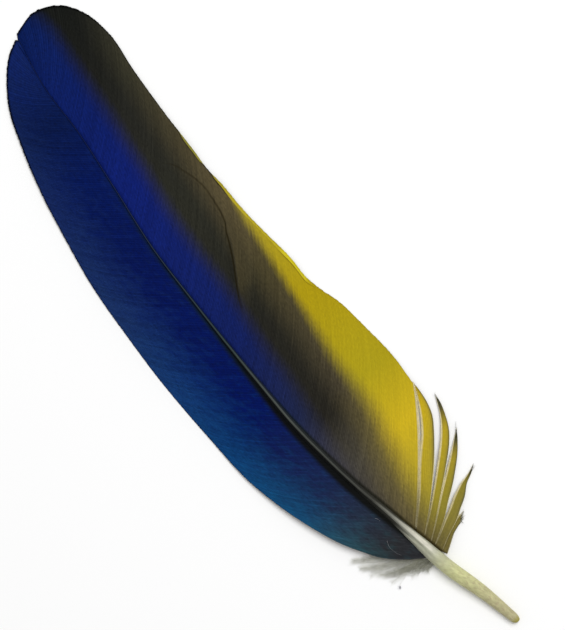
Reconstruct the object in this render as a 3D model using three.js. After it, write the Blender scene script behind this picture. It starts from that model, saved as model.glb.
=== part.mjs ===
// A secondary flight feather of a blue and yellow macaw, lying on its belly side.
// Millimetres. X runs from the blue outer vane to the yellow inner vane, Y from the
// quill's end to the tip, Z up. The whole feather grew as one piece, so it is one solid:
// a tapering shaft with two vanes, each a row of locks fused side by side.
import * as THREE from 'three';

// Driving dimensions
const featherLength = 210;
const shaftEnd = 202.5;
const innerVaneFoot = 26.4;
const outerVaneFoot = 29.4;
const baseLockTop = 37.5;
const locksAboveBase = 28;
const columnsAcrossVane = 8;
const vaneHalfThickness = 0.36;
const edgeHalfThickness = 0.26;
const lockCrown = 0.26;
const lockScallop = 0.45;
const barbBow = 0.065;
const camberPower = 1.7;
const notch = new THREE.Vector2(3.5, 207.0);

// Smooth value along the feather from a few stations of [distance from the quill's end, value]
function along(stations) {
  const places = stations.map((station) => station[0]);
  const values = stations.map((station) => station[1]);
  const curve = new THREE.CubicInterpolant(places, values, 1);
  return (y) => curve.evaluate(THREE.MathUtils.clamp(y, places[0], places.at(-1)))[0];
}

// The same for a height above the surface that the feather lies on, which is never below it
function lift(stations) {
  const height = along(stations);
  return (y) => Math.max(0, height(y));
}

// Shaft: sideways sweep, half width and half height of its section, and height of its belly.
// The bare quill lies flat, and the rest of the shaft rises in a long shallow arch.
const shaftX = along([
  [0, 4.4], [12, 2.4], [23, -0.3], [39, -2.2], [57, -5.1], [78, -7.1], [100, -6.9],
  [122, -6.3], [140, -5.3], [160, -2.5], [178, -0.2], [192, 0.6], [featherLength, 4.4],
]);
const shaftHalfWidth = along([
  [0, 1.2], [8, 1.6], [20, 2.15], [30, 2.0], [38, 1.5], [50, 1.25],
  [85, 1.15], [120, 0.8], [160, 0.5], [featherLength, 0.25],
]);
const shaftHalfHeight = along([
  [0, 1.2], [8, 1.6], [20, 2.15], [34, 2.1], [50, 1.85], [85, 1.5],
  [120, 1.15], [160, 0.8], [featherLength, 0.42],
]);
const bellyLift = lift([
  [0, 0], [20, 0], [33, 0], [50, 1.4], [75, 3.3], [105, 4.5],
  [135, 4.5], [165, 3.3], [190, 1.3], [featherLength, 0.1],
]);
const shaftZ = (y) => bellyLift(y) + shaftHalfHeight(y);
// The vanes grow from the upper flanks of the shaft; on the bare quill this is only its widest part
const flankRise = along([[0, 0], [18, 0], [30, 0.2], [45, 0.45], [featherLength, 0.25]]);
const flankHalfThickness = along([
  [0, 0.4], [20, 0.75], [34, vaneHalfThickness], [featherLength, vaneHalfThickness],
]);

// Edges of the vanes seen from above, from the foot to the notch at the tip
const outerEdge = new THREE.SplineCurve([
  [-14.5, 40.0], [-18.3, 46.8], [-21.8, 56.0], [-24.6, 66.0], [-26.4, 76.0], [-27.0, 92.0],
  [-27.0, 112.0], [-26.1, 126.0], [-24.3, 144.0], [-21.8, 157.0], [-18.5, 171.5], [-14.5, 184.2],
  [-10.0, 195.0], [-6.2, 200.3], [-0.4, 205.7], [3.0, 207.4],
].map((point) => new THREE.Vector2(...point)));
const innerEdge = new THREE.SplineCurve([
  [24.3, 65.2], [25.2, 76.0], [24.6, 87.0], [23.3, 98.0], [21.6, 105.5], [21.4, 113.5],
  [20.3, 124.0], [20.0, 138.0], [20.0, 148.0], [20.7, 163.0], [22.0, 180.0], [23.4, 193.0],
  [22.2, 200.3], [18.4, 206.6], [11.4, 210.0], [4.2, 208.4],
].map((point) => new THREE.Vector2(...point)));

// Height of the underside of each edge above what the feather lies on
const outerEdgeLift = lift([
  [40, 2.1], [60, 1.2], [85, 0.3], [100, 0], [120, 0], [150, 0.3], [185, 0.5], [featherLength, 0.1],
]);
const innerEdgeLift = lift([
  [30, 1.6], [50, 0.9], [65, 0.6], [85, 0], [105, 0], [140, 0.4], [175, 0.4], [200, 0], [featherLength, 0],
]);

// Lean of a barb from the feather's length, in degrees, by the place of its root.
// The last barbs swing in line with the shaft and close the tip.
const tipLean = 16;
const tipFanStart = 186;
function leanTowards(foot, footLean, vaneLean, side) {
  return (y) => {
    const settled = THREE.MathUtils.smoothstep(y, foot, foot + 20);
    const lean = side * THREE.MathUtils.lerp(footLean, vaneLean, settled);
    const swing = THREE.MathUtils.smoothstep(y, tipFanStart, shaftEnd);
    return THREE.MathUtils.degToRad(THREE.MathUtils.lerp(lean, tipLean, swing));
  };
}
const outerLean = leanTowards(outerVaneFoot, 46, 43, -1);
const innerLean = leanTowards(baseLockTop, 41.5, 43, 1);

// Loose locks at the foot of the inner vane, lowest first: both sides from the shaft to the tip
const baseLocks = [
  {
    lower: [[1.6, 26.4], [5.0, 28.3], [9.0, 29.9], [12.4, 31.8]],
    upper: [[0.9, 27.6], [5.5, 29.9], [10.1, 31.6], [12.5, 32.2]],
  },
  {
    lower: [[0.9, 27.6], [7.4, 31.0], [14.1, 34.5], [22.6, 39.6]],
    upper: [[0.5, 29.4], [6.4, 32.6], [14.1, 36.3], [22.7, 40.0]],
  },
  {
    lower: [[0.5, 29.4], [9.4, 35.6], [19.5, 43.8], [25.2, 50.4]],
    upper: [[0.0, 33.9], [8.1, 37.4], [18.8, 45.6], [25.4, 50.9]],
  },
  {
    lower: [[0.0, 33.9], [8.1, 38.1], [16.8, 44.4], [23.9, 52.6], [27.1, 61.1]],
    upper: [[-0.1, 35.5], [9.2, 41.5], [19.5, 50.9], [24.9, 56.9], [27.3, 61.6]],
  },
  {
    lower: [[-0.1, 35.5], [10.4, 44.9], [18.4, 52.2], [22.4, 57.6], [24.6, 64.2]],
    upper: [[-0.3, 37.5], [7.9, 44.2], [16.9, 54.2], [24.1, 64.8]],
  },
];
// Columns of each lock that stay joined to the lock above it before the gap between them opens
const joinedColumns = [4, 3, 2, 2, 3];

// Stations of the shaft: the bare quill, then one for each side and each crown of a lock
const quillStations = [0, 1.2, 8, 20];
const baseStations = [26.4, 27.0, 27.6, 28.5, 29.4, 31.6, 33.9, 34.7, 35.5, 36.5];
const halfLock = (shaftEnd - baseLockTop) / (2 * locksAboveBase);
const upperStations = Array.from({ length: 2 * locksAboveBase + 1 }, (_, i) => baseLockTop + i * halfLock);
const stations = [...quillStations, ...baseStations, ...upperStations];
const innerFootStation = stations.indexOf(innerVaneFoot);
const outerFootStation = stations.indexOf(outerVaneFoot);
const firstWholeStation = stations.indexOf(baseLockTop);
const lastStation = stations.length - 1;

// The skin is collected here as shared points and triangles
const points = [];
const triangles = [];

function addPoint(x, y, z) {
  points.push(x, y, z);
  return points.length / 3 - 1;
}

function addTriangle(a, b, c) {
  if (a !== b && b !== c && c !== a) triangles.push(a, b, c);
}

// Four corners in turn, counterclockwise from outside on the inner side and mirrored on the outer
function addQuad(a, b, c, d, side = 1) {
  if (side > 0) {
    addTriangle(a, b, c);
    addTriangle(a, c, d);
  } else {
    addTriangle(a, c, b);
    addTriangle(a, d, c);
  }
}

// Section of the shaft: round above, flat on its belly, with a narrow flank on each side.
// Points run from the top over the inner flank and the belly to the outer flank.
const flank = { innerTop: 2, innerBottom: 3, outerBottom: 8, outerTop: 9 };
function shaftSection(y) {
  const halfWidth = shaftHalfWidth(y);
  const halfHeight = shaftHalfHeight(y);
  const rise = flankRise(y) * halfHeight;
  const half = Math.min(flankHalfThickness(y), 0.5 * halfHeight);
  const side = [
    [0.62 * halfWidth, 0.86 * halfHeight],
    [halfWidth, rise + half],
    [halfWidth, rise - half],
    [0.8 * halfWidth, -0.74 * halfHeight],
    [0.38 * halfWidth, -halfHeight],
  ];
  const mirrored = side.map(([x, z]) => [-x, z]).reverse();
  const outline = [[0, halfHeight], ...side, ...mirrored];
  const slope = Math.atan2(shaftX(y + 1) - shaftX(y - 1), 2);
  return outline.map(([x, z]) => addPoint(
    shaftX(y) + x * Math.cos(slope),
    y - x * Math.sin(slope),
    shaftZ(y) + z,
  ));
}

// The last section has shrunk to the thickness of the vane: one point above and one below
function closedSection(y) {
  const top = addPoint(shaftX(y), y, shaftZ(y) + 1.4 * vaneHalfThickness);
  const bottom = addPoint(shaftX(y), y, shaftZ(y) - 0.6 * vaneHalfThickness);
  return [top, top, top, bottom, bottom, bottom, bottom, bottom, bottom, top, top];
}

const sections = stations.map((y, i) => (i === lastStation ? closedSection(y) : shaftSection(y)));

for (let i = 0; i < lastStation; i += 1) {
  for (let j = 0; j < sections[i].length; j += 1) {
    const next = (j + 1) % sections[i].length;
    const underInnerVane = j === flank.innerTop && i >= innerFootStation;
    const underOuterVane = j === flank.outerBottom && i >= outerFootStation;
    if (!underInnerVane && !underOuterVane) {
      addQuad(sections[i][j], sections[i][next], sections[i + 1][next], sections[i + 1][j]);
    }
  }
}

// Blunt end of the quill
const quillCentre = addPoint(shaftX(0), 0, shaftZ(0));
sections[0].forEach((corner, j) => {
  addTriangle(quillCentre, sections[0][(j + 1) % sections[0].length], corner);
});

function pointOf(index) {
  return new THREE.Vector3().fromArray(points, 3 * index);
}

// One line across a vane from a flank of the shaft to the vane's edge, above and below.
// crown lifts the middle of a lock, and shared is a line whose first points this one takes over.
function addLine(route, station, side, edgeLift, crown, shared = null, sharedCount = 1) {
  const section = sections[station];
  const top = [side > 0 ? section[flank.innerTop] : section[flank.outerTop]];
  const bottom = [side > 0 ? section[flank.innerBottom] : section[flank.outerBottom]];
  const rootTop = pointOf(top[0]);
  const rootBottom = pointOf(bottom[0]);
  for (let j = 1; j <= columnsAcrossVane; j += 1) {
    if (shared && j < sharedCount) {
      top.push(shared.top[j]);
      bottom.push(shared.bottom[j]);
    } else {
      const t = j / columnsAcrossVane;
      const place = route(t);
      const fall = t ** camberPower;
      const half = THREE.MathUtils.lerp(vaneHalfThickness, edgeHalfThickness, t);
      const rootHeight = (rootTop.z + rootBottom.z) / 2;
      const middle = THREE.MathUtils.lerp(rootHeight, edgeLift + edgeHalfThickness, fall);
      const swell = crown * Math.sin(Math.PI * Math.min(1, 0.15 + 0.75 * t));
      top.push(addPoint(place.x, place.y, middle + half + swell));
      bottom.push(addPoint(place.x, place.y, middle - half + 0.4 * swell));
    }
  }
  return { top, bottom };
}

// Route of a barb in plan, bowed towards the quill between its root and its end
function bowedRoute(root, end, side) {
  const chord = end.clone().sub(root);
  const middle = root.clone().lerp(end, 0.5);
  middle.x += side * barbBow * 2 * chord.y;
  middle.y -= side * barbBow * 2 * chord.x;
  const curve = new THREE.QuadraticBezierCurve(root, middle, end);
  return (t) => curve.getPoint(t);
}

// Place on an edge that a barb with this root and lean reaches
function whereBarbEnds(edge, root, lean, side) {
  let low = 0;
  let high = 1;
  for (let step = 0; step < 30; step += 1) {
    const middle = (low + high) / 2;
    const seen = edge.getPoint(middle).sub(root);
    const angle = Math.atan2(seen.x, seen.y);
    if (side * angle > side * lean) low = middle;
    else high = middle;
  }
  return edge.getPoint((low + high) / 2);
}

// Lines of one vane, a pair for each station: the one that ends the lock below it
// and the one that starts the lock above it. They are the same line unless a gap parts them.
function vaneLines(side, edge, leanAt, liftAt, firstStation, wholeFrom) {
  const lines = [];
  for (let i = wholeFrom; i < lastStation; i += 1) {
    const flankPoint = pointOf(sections[i][side > 0 ? flank.innerTop : flank.outerTop]);
    const root = new THREE.Vector2(flankPoint.x, flankPoint.y);
    const end = whereBarbEnds(edge, root, leanAt(stations[i]), side);
    const isCrown = (i - wholeFrom) % 2 === 1;
    if (!isCrown && i > wholeFrom) end.lerp(root, lockScallop / end.distanceTo(root));
    const line = addLine(bowedRoute(root, end, side), i, side, liftAt(end.y), isCrown ? lockCrown : 0);
    lines[i] = { below: line, above: line };
  }
  return lines;
}

const outerLines = vaneLines(-1, outerEdge, outerLean, outerEdgeLift, outerFootStation, outerFootStation);
const innerLines = vaneLines(1, innerEdge, innerLean, innerEdgeLift, innerFootStation, firstWholeStation);

// The tip: both vanes share the line that runs on from the shaft, up to the notch
function straightRoute(from, to) {
  return (t) => from.clone().lerp(to, t);
}
const shaftTip = new THREE.Vector2(shaftX(shaftEnd), shaftEnd);
const seam = addLine(straightRoute(shaftTip, notch), lastStation, 1, innerEdgeLift(notch.y), 0);
function tipLine(corner, side) {
  const route = (t) => (t < 1 ? shaftTip.clone().lerp(notch, t) : corner);
  return addLine(route, lastStation, side, innerEdgeLift(corner.y), 0, seam, columnsAcrossVane);
}
const outerTip = tipLine(outerEdge.getPoint(1), -1);
const innerTip = tipLine(innerEdge.getPoint(1), 1);
outerLines[lastStation] = { below: outerTip, above: outerTip };
innerLines[lastStation] = { below: innerTip, above: innerTip };

// The loose locks: their two sides and a crown between them
const lockSide = (list) => new THREE.SplineCurve(list.map((point) => new THREE.Vector2(...point)));
baseLocks.forEach((lock, n) => {
  const lower = lockSide(lock.lower);
  const upper = lockSide(lock.upper);
  const first = innerFootStation + 2 * n;
  const tipLift = innerEdgeLift(upper.getPoint(1).y);
  const between = (t) => lower.getPoint(t).lerp(upper.getPoint(t), 0.5);
  const under = n === 0 ? null : innerLines[first].below;
  const lowerLine = addLine(
    (t) => lower.getPoint(t), first, 1, tipLift, 0, under, n === 0 ? 1 : joinedColumns[n - 1],
  );
  const crownLine = addLine(between, first + 1, 1, tipLift, lockCrown);
  innerLines[first] = { below: under ?? lowerLine, above: lowerLine };
  innerLines[first + 1] = { below: crownLine, above: crownLine };
  const whole = n === baseLocks.length - 1 ? innerLines[first + 2].above : null;
  const upperLine = addLine(
    (t) => upper.getPoint(t), first + 2, 1, tipLift, 0, whole, whole ? joinedColumns[n] : 1,
  );
  innerLines[first + 2] = { below: upperLine, above: whole ?? upperLine };
});

// Skin of a vane between neighbouring lines, its edge, and a wall wherever two lines part
function addWall(line, from, facing, side) {
  for (let j = from; j < columnsAcrossVane; j += 1) {
    addQuad(line.top[j], line.bottom[j], line.bottom[j + 1], line.top[j + 1], facing * side);
  }
}

function addVane(lines, side, firstStation) {
  for (let i = firstStation; i < lastStation; i += 1) {
    const near = lines[i].above;
    const far = lines[i + 1].below;
    for (let j = 0; j < columnsAcrossVane; j += 1) {
      addQuad(near.top[j], near.top[j + 1], far.top[j + 1], far.top[j], side);
      addQuad(near.bottom[j], far.bottom[j], far.bottom[j + 1], near.bottom[j + 1], side);
    }
    const last = columnsAcrossVane;
    addQuad(near.top[last], near.bottom[last], far.bottom[last], far.top[last], side);
  }
  addWall(lines[firstStation].above, 0, 1, side);
  for (let i = firstStation + 1; i < lastStation; i += 1) {
    const { below, above } = lines[i];
    const parted = above.top.findIndex((corner, j) => corner !== below.top[j]);
    if (parted > 0) {
      addWall(below, parted - 1, -1, side);
      addWall(above, parted - 1, 1, side);
    }
  }
  addWall(lines[lastStation].below, columnsAcrossVane - 1, -1, side);
}

addVane(outerLines, -1, outerFootStation);
addVane(innerLines, 1, innerFootStation);

const skin = new THREE.BufferGeometry();
skin.setAttribute('position', new THREE.Float32BufferAttribute(points, 3));
skin.setIndex(triangles);
skin.computeVertexNormals();
skin.computeBoundingBox();

// Keratin: the blue of the vanes, with a soft satin gloss
const keratin = new THREE.MeshStandardMaterial({ color: 0x14265c, roughness: 0.55, metalness: 0 });

const feather = new THREE.Mesh(skin, keratin);
feather.name = 'feather';

// The origin lies under the middle of the feather, on the surface that it rests on
const { min, max } = skin.boundingBox;
feather.position.set(-(min.x + max.x) / 2, -(min.y + max.y) / 2, -min.z);

const part = new THREE.Group();
part.add(feather);

export default part;
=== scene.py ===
"""A shed flight feather of a blue and yellow macaw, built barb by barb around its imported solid."""

import bpy
import numpy as np
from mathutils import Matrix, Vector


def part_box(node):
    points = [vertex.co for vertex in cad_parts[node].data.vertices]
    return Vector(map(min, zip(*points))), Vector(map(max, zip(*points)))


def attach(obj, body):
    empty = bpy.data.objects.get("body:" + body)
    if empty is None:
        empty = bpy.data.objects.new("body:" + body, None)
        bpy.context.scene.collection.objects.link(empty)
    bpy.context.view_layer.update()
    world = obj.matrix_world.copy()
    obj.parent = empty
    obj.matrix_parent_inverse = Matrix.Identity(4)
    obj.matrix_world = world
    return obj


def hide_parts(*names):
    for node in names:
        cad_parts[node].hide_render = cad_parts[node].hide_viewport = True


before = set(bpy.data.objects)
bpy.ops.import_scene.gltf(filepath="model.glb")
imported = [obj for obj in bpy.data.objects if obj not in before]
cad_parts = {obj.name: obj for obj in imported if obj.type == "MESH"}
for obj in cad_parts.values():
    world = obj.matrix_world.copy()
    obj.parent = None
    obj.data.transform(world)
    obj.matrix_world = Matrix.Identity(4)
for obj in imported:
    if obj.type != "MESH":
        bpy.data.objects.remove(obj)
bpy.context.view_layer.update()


# Quill and shaft
# One tube of keratin, round and hollow at the quill and a ridged, pith-filled beam beyond it.
# Everything else grows out of its two flanks, so it is made first and sets where the rest goes.

# The solid's box ties this file's millimetres to the frame: the longest loose lock reaches
# its high X side, and the quill's end lies just inside its low Y side.
SOLID_LOW, SOLID_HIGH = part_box("feather")
LOCK_REACH = 27.3
QUILL_END = 0.1
FEATHER_LENGTH = 210.0
SHAFT_END = 202.5
LEAST_HEIGHT = 0.02


def placed(points):
    """Points in millimetres from the quill's end, in the frame's metres and clear of the floor."""
    shifted = np.array(points, float)
    shifted[..., 0] += SOLID_HIGH.x * 1000 - LOCK_REACH
    shifted[..., 1] += SOLID_LOW.y * 1000 + QUILL_END
    shifted[..., 2] = np.maximum(shifted[..., 2], LEAST_HEIGHT) + SOLID_LOW.z * 1000
    return shifted / 1000


def along(stations):
    """A smooth value along the feather through stations of (distance from the quill's end, value)."""
    at, value = np.array(stations, float).T
    slope = np.gradient(value, at)

    def read(y):
        y = np.clip(y, at[0], at[-1])
        i = np.clip(np.searchsorted(at, y) - 1, 0, len(at) - 2)
        gap = at[i + 1] - at[i]
        t = (y - at[i]) / gap
        start = value[i] * (1 + 2 * t) * (1 - t) ** 2 + slope[i] * gap * t * (1 - t) ** 2
        end = value[i + 1] * t ** 2 * (3 - 2 * t) - slope[i + 1] * gap * t ** 2 * (1 - t)
        return start + end

    return read


shaft_x = along([
    (0, 4.4), (12, 2.3), (24, -0.6), (36, -2.35), (44, -3.4), (57, -5.4), (67, -6.45),
    (80, -7.3), (94, -7.15), (122, -6.3), (140, -5.3), (160, -2.5), (178, -0.2), (192, 0.6),
    (FEATHER_LENGTH, 4.4)])
shaft_half_width = along([
    (0, 1.2), (8, 1.6), (19, 2.0), (30, 1.9), (38, 1.45), (50, 1.15),
    (85, 0.95), (120, 0.62), (160, 0.34), (FEATHER_LENGTH, 0.12)])
shaft_half_height = along([
    (0, 1.2), (8, 1.6), (20, 2.1), (34, 2.1), (50, 1.85), (85, 1.5),
    (120, 1.12), (160, 0.74), (FEATHER_LENGTH, 0.3)])
belly_lift = along([
    (0, 0), (20, 0), (33, 0.1), (50, 1.4), (75, 3.3), (105, 4.5),
    (135, 4.5), (165, 3.3), (190, 1.3), (FEATHER_LENGTH, 0.15)])
flank_rise = along([
    (0, 0), (18, 0), (30, 0.2), (45, 0.4), (90, 0.45), (130, 0.7), (160, 0.8), (FEATHER_LENGTH, 0.8)])


def shaft_z(y):
    return belly_lift(y) + shaft_half_height(y)


def smooth_step(low, high, value):
    t = np.clip((value - low) / (high - low), 0, 1)
    return t * t * (3 - 2 * t)


def add_piece(name, points, faces, attributes, material, slot):
    """A mesh object of the feather, from points in millimetres, with named values at its vertices."""
    mesh = bpy.data.meshes.new(name)
    mesh.from_pydata(placed(points).tolist(), [], faces)
    for key, values in attributes.items():
        kind = "FLOAT_VECTOR" if np.ndim(values) == 2 else "FLOAT"
        layer = mesh.attributes.new(key, kind, "POINT")
        layer.data.foreach_set("vector" if kind == "FLOAT_VECTOR" else "value", np.ravel(values))
    mesh.validate()
    mesh.shade_smooth()
    mesh.materials.append(material)
    piece = bpy.data.objects.new(name, mesh)
    bpy.context.scene.collection.objects.link(piece)
    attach(piece, "root")
    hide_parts("feather")


def colour(code):
    """A colour written as sRGB hex, turned to linear light for a shader."""
    parts = np.array([int(code[i:i + 2], 16) / 255 for i in (1, 3, 5)])
    linear = np.where(parts <= 0.04045, parts / 12.92, ((parts + 0.055) / 1.055) ** 2.4)
    return (*linear.tolist(), 1.0)


def add(tree, kind, inputs=None, stops=(), curve=(), **settings):
    """One node with its settings, the stops of its ramp or curve, and its inputs' values or links."""
    node = tree.nodes.new(kind)
    for key, value in settings.items():
        setattr(node, key, value)
    for place, _ in stops[2:]:
        node.color_ramp.elements.new(place)
    for element, (place, code) in zip(node.color_ramp.elements if stops else (), stops):
        element.position = place
        element.color = colour(code)
    if curve:
        line = node.mapping.curves[0]
        for _ in curve[2:]:
            line.points.new(0.5, 0.5)
        for point, (place, height) in zip(line.points, curve):
            point.location = (place, height)
        node.mapping.update()
    for key, value in (inputs or {}).items():
        if isinstance(value, bpy.types.NodeSocket):
            tree.links.new(value, node.inputs[key])
        else:
            node.inputs[key].default_value = value
    return node


def new_tree(material):
    """The node tree of a new material, emptied."""
    material.use_nodes = True
    material.node_tree.nodes.clear()
    return material.node_tree


def vertex(tree, name, output="Fac"):
    """A number, or by its "Vector" output a vector, that the mesh holds at its vertices."""
    return add(tree, "ShaderNodeAttribute", attribute_name=name).outputs[output]


def work_out(tree, operation, *values, **settings):
    """The result of one step of arithmetic."""
    return add(tree, "ShaderNodeMath", dict(enumerate(values)), operation=operation, **settings).outputs[0]


def spread(tree, value, low, high, to_low=0.0, to_high=1.0, shape="LINEAR"):
    """A value between low and high, carried over to another range and held at its ends."""
    inputs = {0: value, 1: low, 2: high, 3: to_low, 4: to_high}
    return add(tree, "ShaderNodeMapRange", inputs, interpolation_type=shape).outputs[0]


def curve_at(tree, place, points, reach=None):
    """The height of a curve at a place, which is a distance where it is a share of a reach."""
    height = add(tree, "ShaderNodeFloatCurve", {1: place}, curve=points).outputs[0]
    return height if reach is None else work_out(tree, "MULTIPLY", height, reach)


def ramp_at(tree, place, stops):
    """The colour of a ramp at a place."""
    return add(tree, "ShaderNodeValToRGB", {0: place}, stops=stops).outputs[0]


def mix(tree, share, first, second, kind="MIX"):
    """Two colours mixed by a share, or the first one multiplied by the second."""
    inputs = {0: share, 6: first, 7: second}
    return add(tree, "ShaderNodeMix", inputs, data_type="RGBA", blend_type=kind).outputs[2]


def noise(tree, place, scale, detail):
    """Cloudy noise, with scale clouds to one unit of the place."""
    return add(tree, "ShaderNodeTexNoise", {"Vector": place, "Scale": scale, "Detail": detail}).outputs[0]


def keratin(tree, base, roughness, gloss, relief, strength, depth, ior=1.5):
    """The surface of keratin with its fine relief, joined to the material's output."""
    bump = add(tree, "ShaderNodeBump", {"Height": relief, "Strength": strength, "Distance": depth})
    surface = add(tree, "ShaderNodeBsdfPrincipled", {
        "Base Color": base, "Roughness": roughness, "IOR": ior, "Specular IOR Level": gloss,
        "Normal": bump.outputs[0]})
    add(tree, "ShaderNodeOutputMaterial", {"Surface": surface.outputs[0]})


# Rings from the quill's end to the tip. The section has its crest a little towards the inner
# vane, a channel beside the crest where the quill turns into the shaft, and a groove below.
RING_POINTS = 40
RING_PITCH = 0.7
end_y = np.array([0.0, 0.15, 0.4, 0.8, 1.3, 1.9])
end_size = np.array([0.42, 0.6, 0.76, 0.9, 0.99, 1.03])
ring_y = np.concatenate([end_y, np.arange(2.6, SHAFT_END, RING_PITCH), [SHAFT_END]])
ring_size = np.concatenate([end_size, 1 + 0.03 * np.exp(-((ring_y[len(end_y):] - 2.2) / 1.2) ** 2)])
angle = np.linspace(0, 2 * np.pi, RING_POINTS, endpoint=False)
Y, A = np.meshgrid(ring_y, angle, indexing="ij")
crest_shift = 0.2 * smooth_step(24, 44, Y)
boxy = 1 + 0.08 * smooth_step(30, 60, Y) * np.cos(4 * A)
channel_depth = 0.2 * smooth_step(27, 35, Y) * (1 - smooth_step(44, 56, Y))
channel = channel_depth * np.exp(-((A - 1.95) / 0.2) ** 2)
groove_depth = 0.22 * smooth_step(28, 50, Y) * (1 - 0.5 * smooth_step(120, 190, Y))
groove = groove_depth * np.exp(-((A - 1.5 * np.pi) / 0.3) ** 2)
radius = boxy * ring_size[:, None] * (1 - channel - groove)
across = radius * np.cos(A) + crest_shift * np.clip(np.sin(A), 0, 1)
section_x = shaft_half_width(Y) * across
section_z = shaft_half_height(Y) * radius * np.sin(A)
turn = np.arctan(shaft_x(Y + 0.5) - shaft_x(Y - 0.5))
shaft_rings = np.stack([
    shaft_x(Y) + section_x * np.cos(turn),
    Y - section_x * np.sin(turn),
    shaft_z(Y) + section_z], axis=-1)

# The quill's end is blunt, with the small pit where it sat in the skin
PIT_DEPTH = 0.45
end_middle = np.array([shaft_x(0.0), 0.0, shaft_z(0.0)])
pit_rim = end_middle + (shaft_rings[0] - end_middle) * 0.6 + [0, -0.03, 0]
pit_floor = end_middle + (shaft_rings[0] - end_middle) * 0.35 + [0, PIT_DEPTH, 0]
rings = np.concatenate([[pit_floor, pit_rim], shaft_rings])
shaft_points = np.concatenate([
    rings.reshape(-1, 3), [end_middle + [0, PIT_DEPTH + 0.05, 0]],
    [[shaft_x(SHAFT_END), SHAFT_END + 0.2, shaft_z(SHAFT_END)]]])
i, j = np.meshgrid(np.arange(len(rings) - 1), np.arange(RING_POINTS), indexing="ij")
after = (j + 1) % RING_POINTS
shaft_faces = np.stack([
    i * RING_POINTS + j, (i + 1) * RING_POINTS + j,
    (i + 1) * RING_POINTS + after, i * RING_POINTS + after], axis=-1).reshape(-1, 4).tolist()
pit_point, tip_point = len(shaft_points) - 2, len(shaft_points) - 1
last_ring = (len(rings) - 1) * RING_POINTS
for j in range(RING_POINTS):
    k = (j + 1) % RING_POINTS
    shaft_faces.append((pit_point, j, k))
    shaft_faces.append((tip_point, last_ring + k, last_ring + j))
shaft_across = np.concatenate([across[0], across[0], across.ravel(), [0, 0]])
shaft_angle = np.concatenate([np.tile(angle, len(rings)), [0, 0]])

# Keratin like a fingernail's, grown smooth: clear to cream at the quill and black with
# pigment above. It is satin with a soft gloss, and fine lines run along it.
horn = bpy.data.materials.new("shaft_keratin_grown_satin")
tree = new_tree(horn)
at = vertex(tree, "along")
share = work_out(tree, "DIVIDE", at, FEATHER_LENGTH)
lines = vertex(tree, "grain", "Vector")
pale_and_highlight_colour = ramp_at(tree, share, [
    (0.03, "#b8b288"), (0.1, "#c8c991"), (0.14, "#b1b29b"), (0.2, "#88887d"),
    (0.24, "#3d3d37"), (0.41, "#454a45"), (0.52, "#2c3a39"), (0.8, "#091847")])
dark_colour = ramp_at(tree, share, [
    (0.1, "#9a9a80"), (0.165, "#7a7a6e"), (0.2, "#2b2b25"), (0.27, "#0e0e0c"),
    (0.5, "#090d0f"), (0.64, "#0a1526"), (0.8, "#091846")])
# The side by the inner vane takes a lighter colour than the far side, partly painted light where the light
# falls on that flank.
lit_right_colour = ramp_at(tree, share, [
    (0.165, "#7a7a6e"), (0.2, "#403f36"), (0.27, "#2c2c29"), (0.37, "#272b2b"), (0.46, "#182030"),
    (0.64, "#0c1a2e"), (0.8, "#091846")])
# The pale part narrows to a band by the inner vane, then to the crest. On the quill it is the
# keratin's own cream, and along the crest of the black shaft above it is partly a painted
# highlight. Across the shaft it is interrupted by the channel, painted dark there as its shade.
place = spread(tree, vertex(tree, "across"), -1.0, 1.0)
profile = curve_at(tree, place, [
    (0.0, 0.1), (0.08, 0.35), (0.15, 0.5), (0.22, 0.4), (0.33, 0.12), (0.43, 0.55),
    (0.5, 0.95), (0.58, 1.0), (0.7, 0.82), (0.82, 0.62), (1.0, 0.3)])
pigment = curve_at(tree, share, [
    (0.0, 0.0), (0.145, 0.0), (0.17, 0.12), (0.185, 0.42), (0.2, 0.58), (0.225, 0.68),
    (0.3, 0.8), (0.42, 0.76), (0.5, 0.72), (0.62, 0.8), (1.0, 0.9)])
pale_and_highlight = spread(tree, work_out(tree, "SUBTRACT", profile, pigment), -0.12, 0.12, shape="SMOOTHSTEP")
# A painted whitish highlight lies along the side next to the inner vane, where the light falls, from the
# vane's foot up
highlight_side = curve_at(tree, place, [
    (0.0, 0.0), (0.5, 0.0), (0.62, 0.9), (0.75, 1.0), (0.88, 0.8), (0.96, 0.0), (1.0, 0.0)])
highlight_along = curve_at(tree, share, [
    (0.0, 0.0), (0.125, 0.0), (0.145, 0.7), (0.165, 0.8), (0.18, 0.55), (0.197, 0.15), (0.21, 0.0),
    (1.0, 0.0)])
highlighted = work_out(tree, "MULTIPLY", highlight_side, highlight_along)
lit = mix(tree, highlighted, pale_and_highlight_colour, colour("#dcd8c8"))
dark = mix(tree, spread(tree, place, 0.5, 0.75), dark_colour, lit_right_colour)
body = mix(tree, pale_and_highlight, dark, lit)
# Cloudy mottling about 2 mm long, narrower across the shaft
grain = noise(tree, lines, scale=1.0, detail=4.0)
toned = mix(tree, 1.0, body, spread(tree, grain, 0.3, 0.7, 0.8, 1.1), "MULTIPLY")
# Brownish stains on the quill, and an olive yellow stain on its very end
stain_by = spread(tree, noise(tree, lines, scale=1.9, detail=2.0), 0.5, 0.68, 0.0, 0.5)
quill_by = spread(tree, share, 0.08, 0.15, 1.0, 0.0)
stained = mix(tree, work_out(tree, "MULTIPLY", stain_by, quill_by), toned, colour("#94816a"))
ended = mix(tree, spread(tree, at, 0.5, 1.7, 0.8, 0.0), stained, colour("#968c36"))
rough = spread(tree, grain, 0.3, 0.7, 0.38, 0.55)
keratin(tree, ended, rough, gloss=0.1, relief=grain, strength=0.3, depth=0.0001, ior=1.54)

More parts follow.
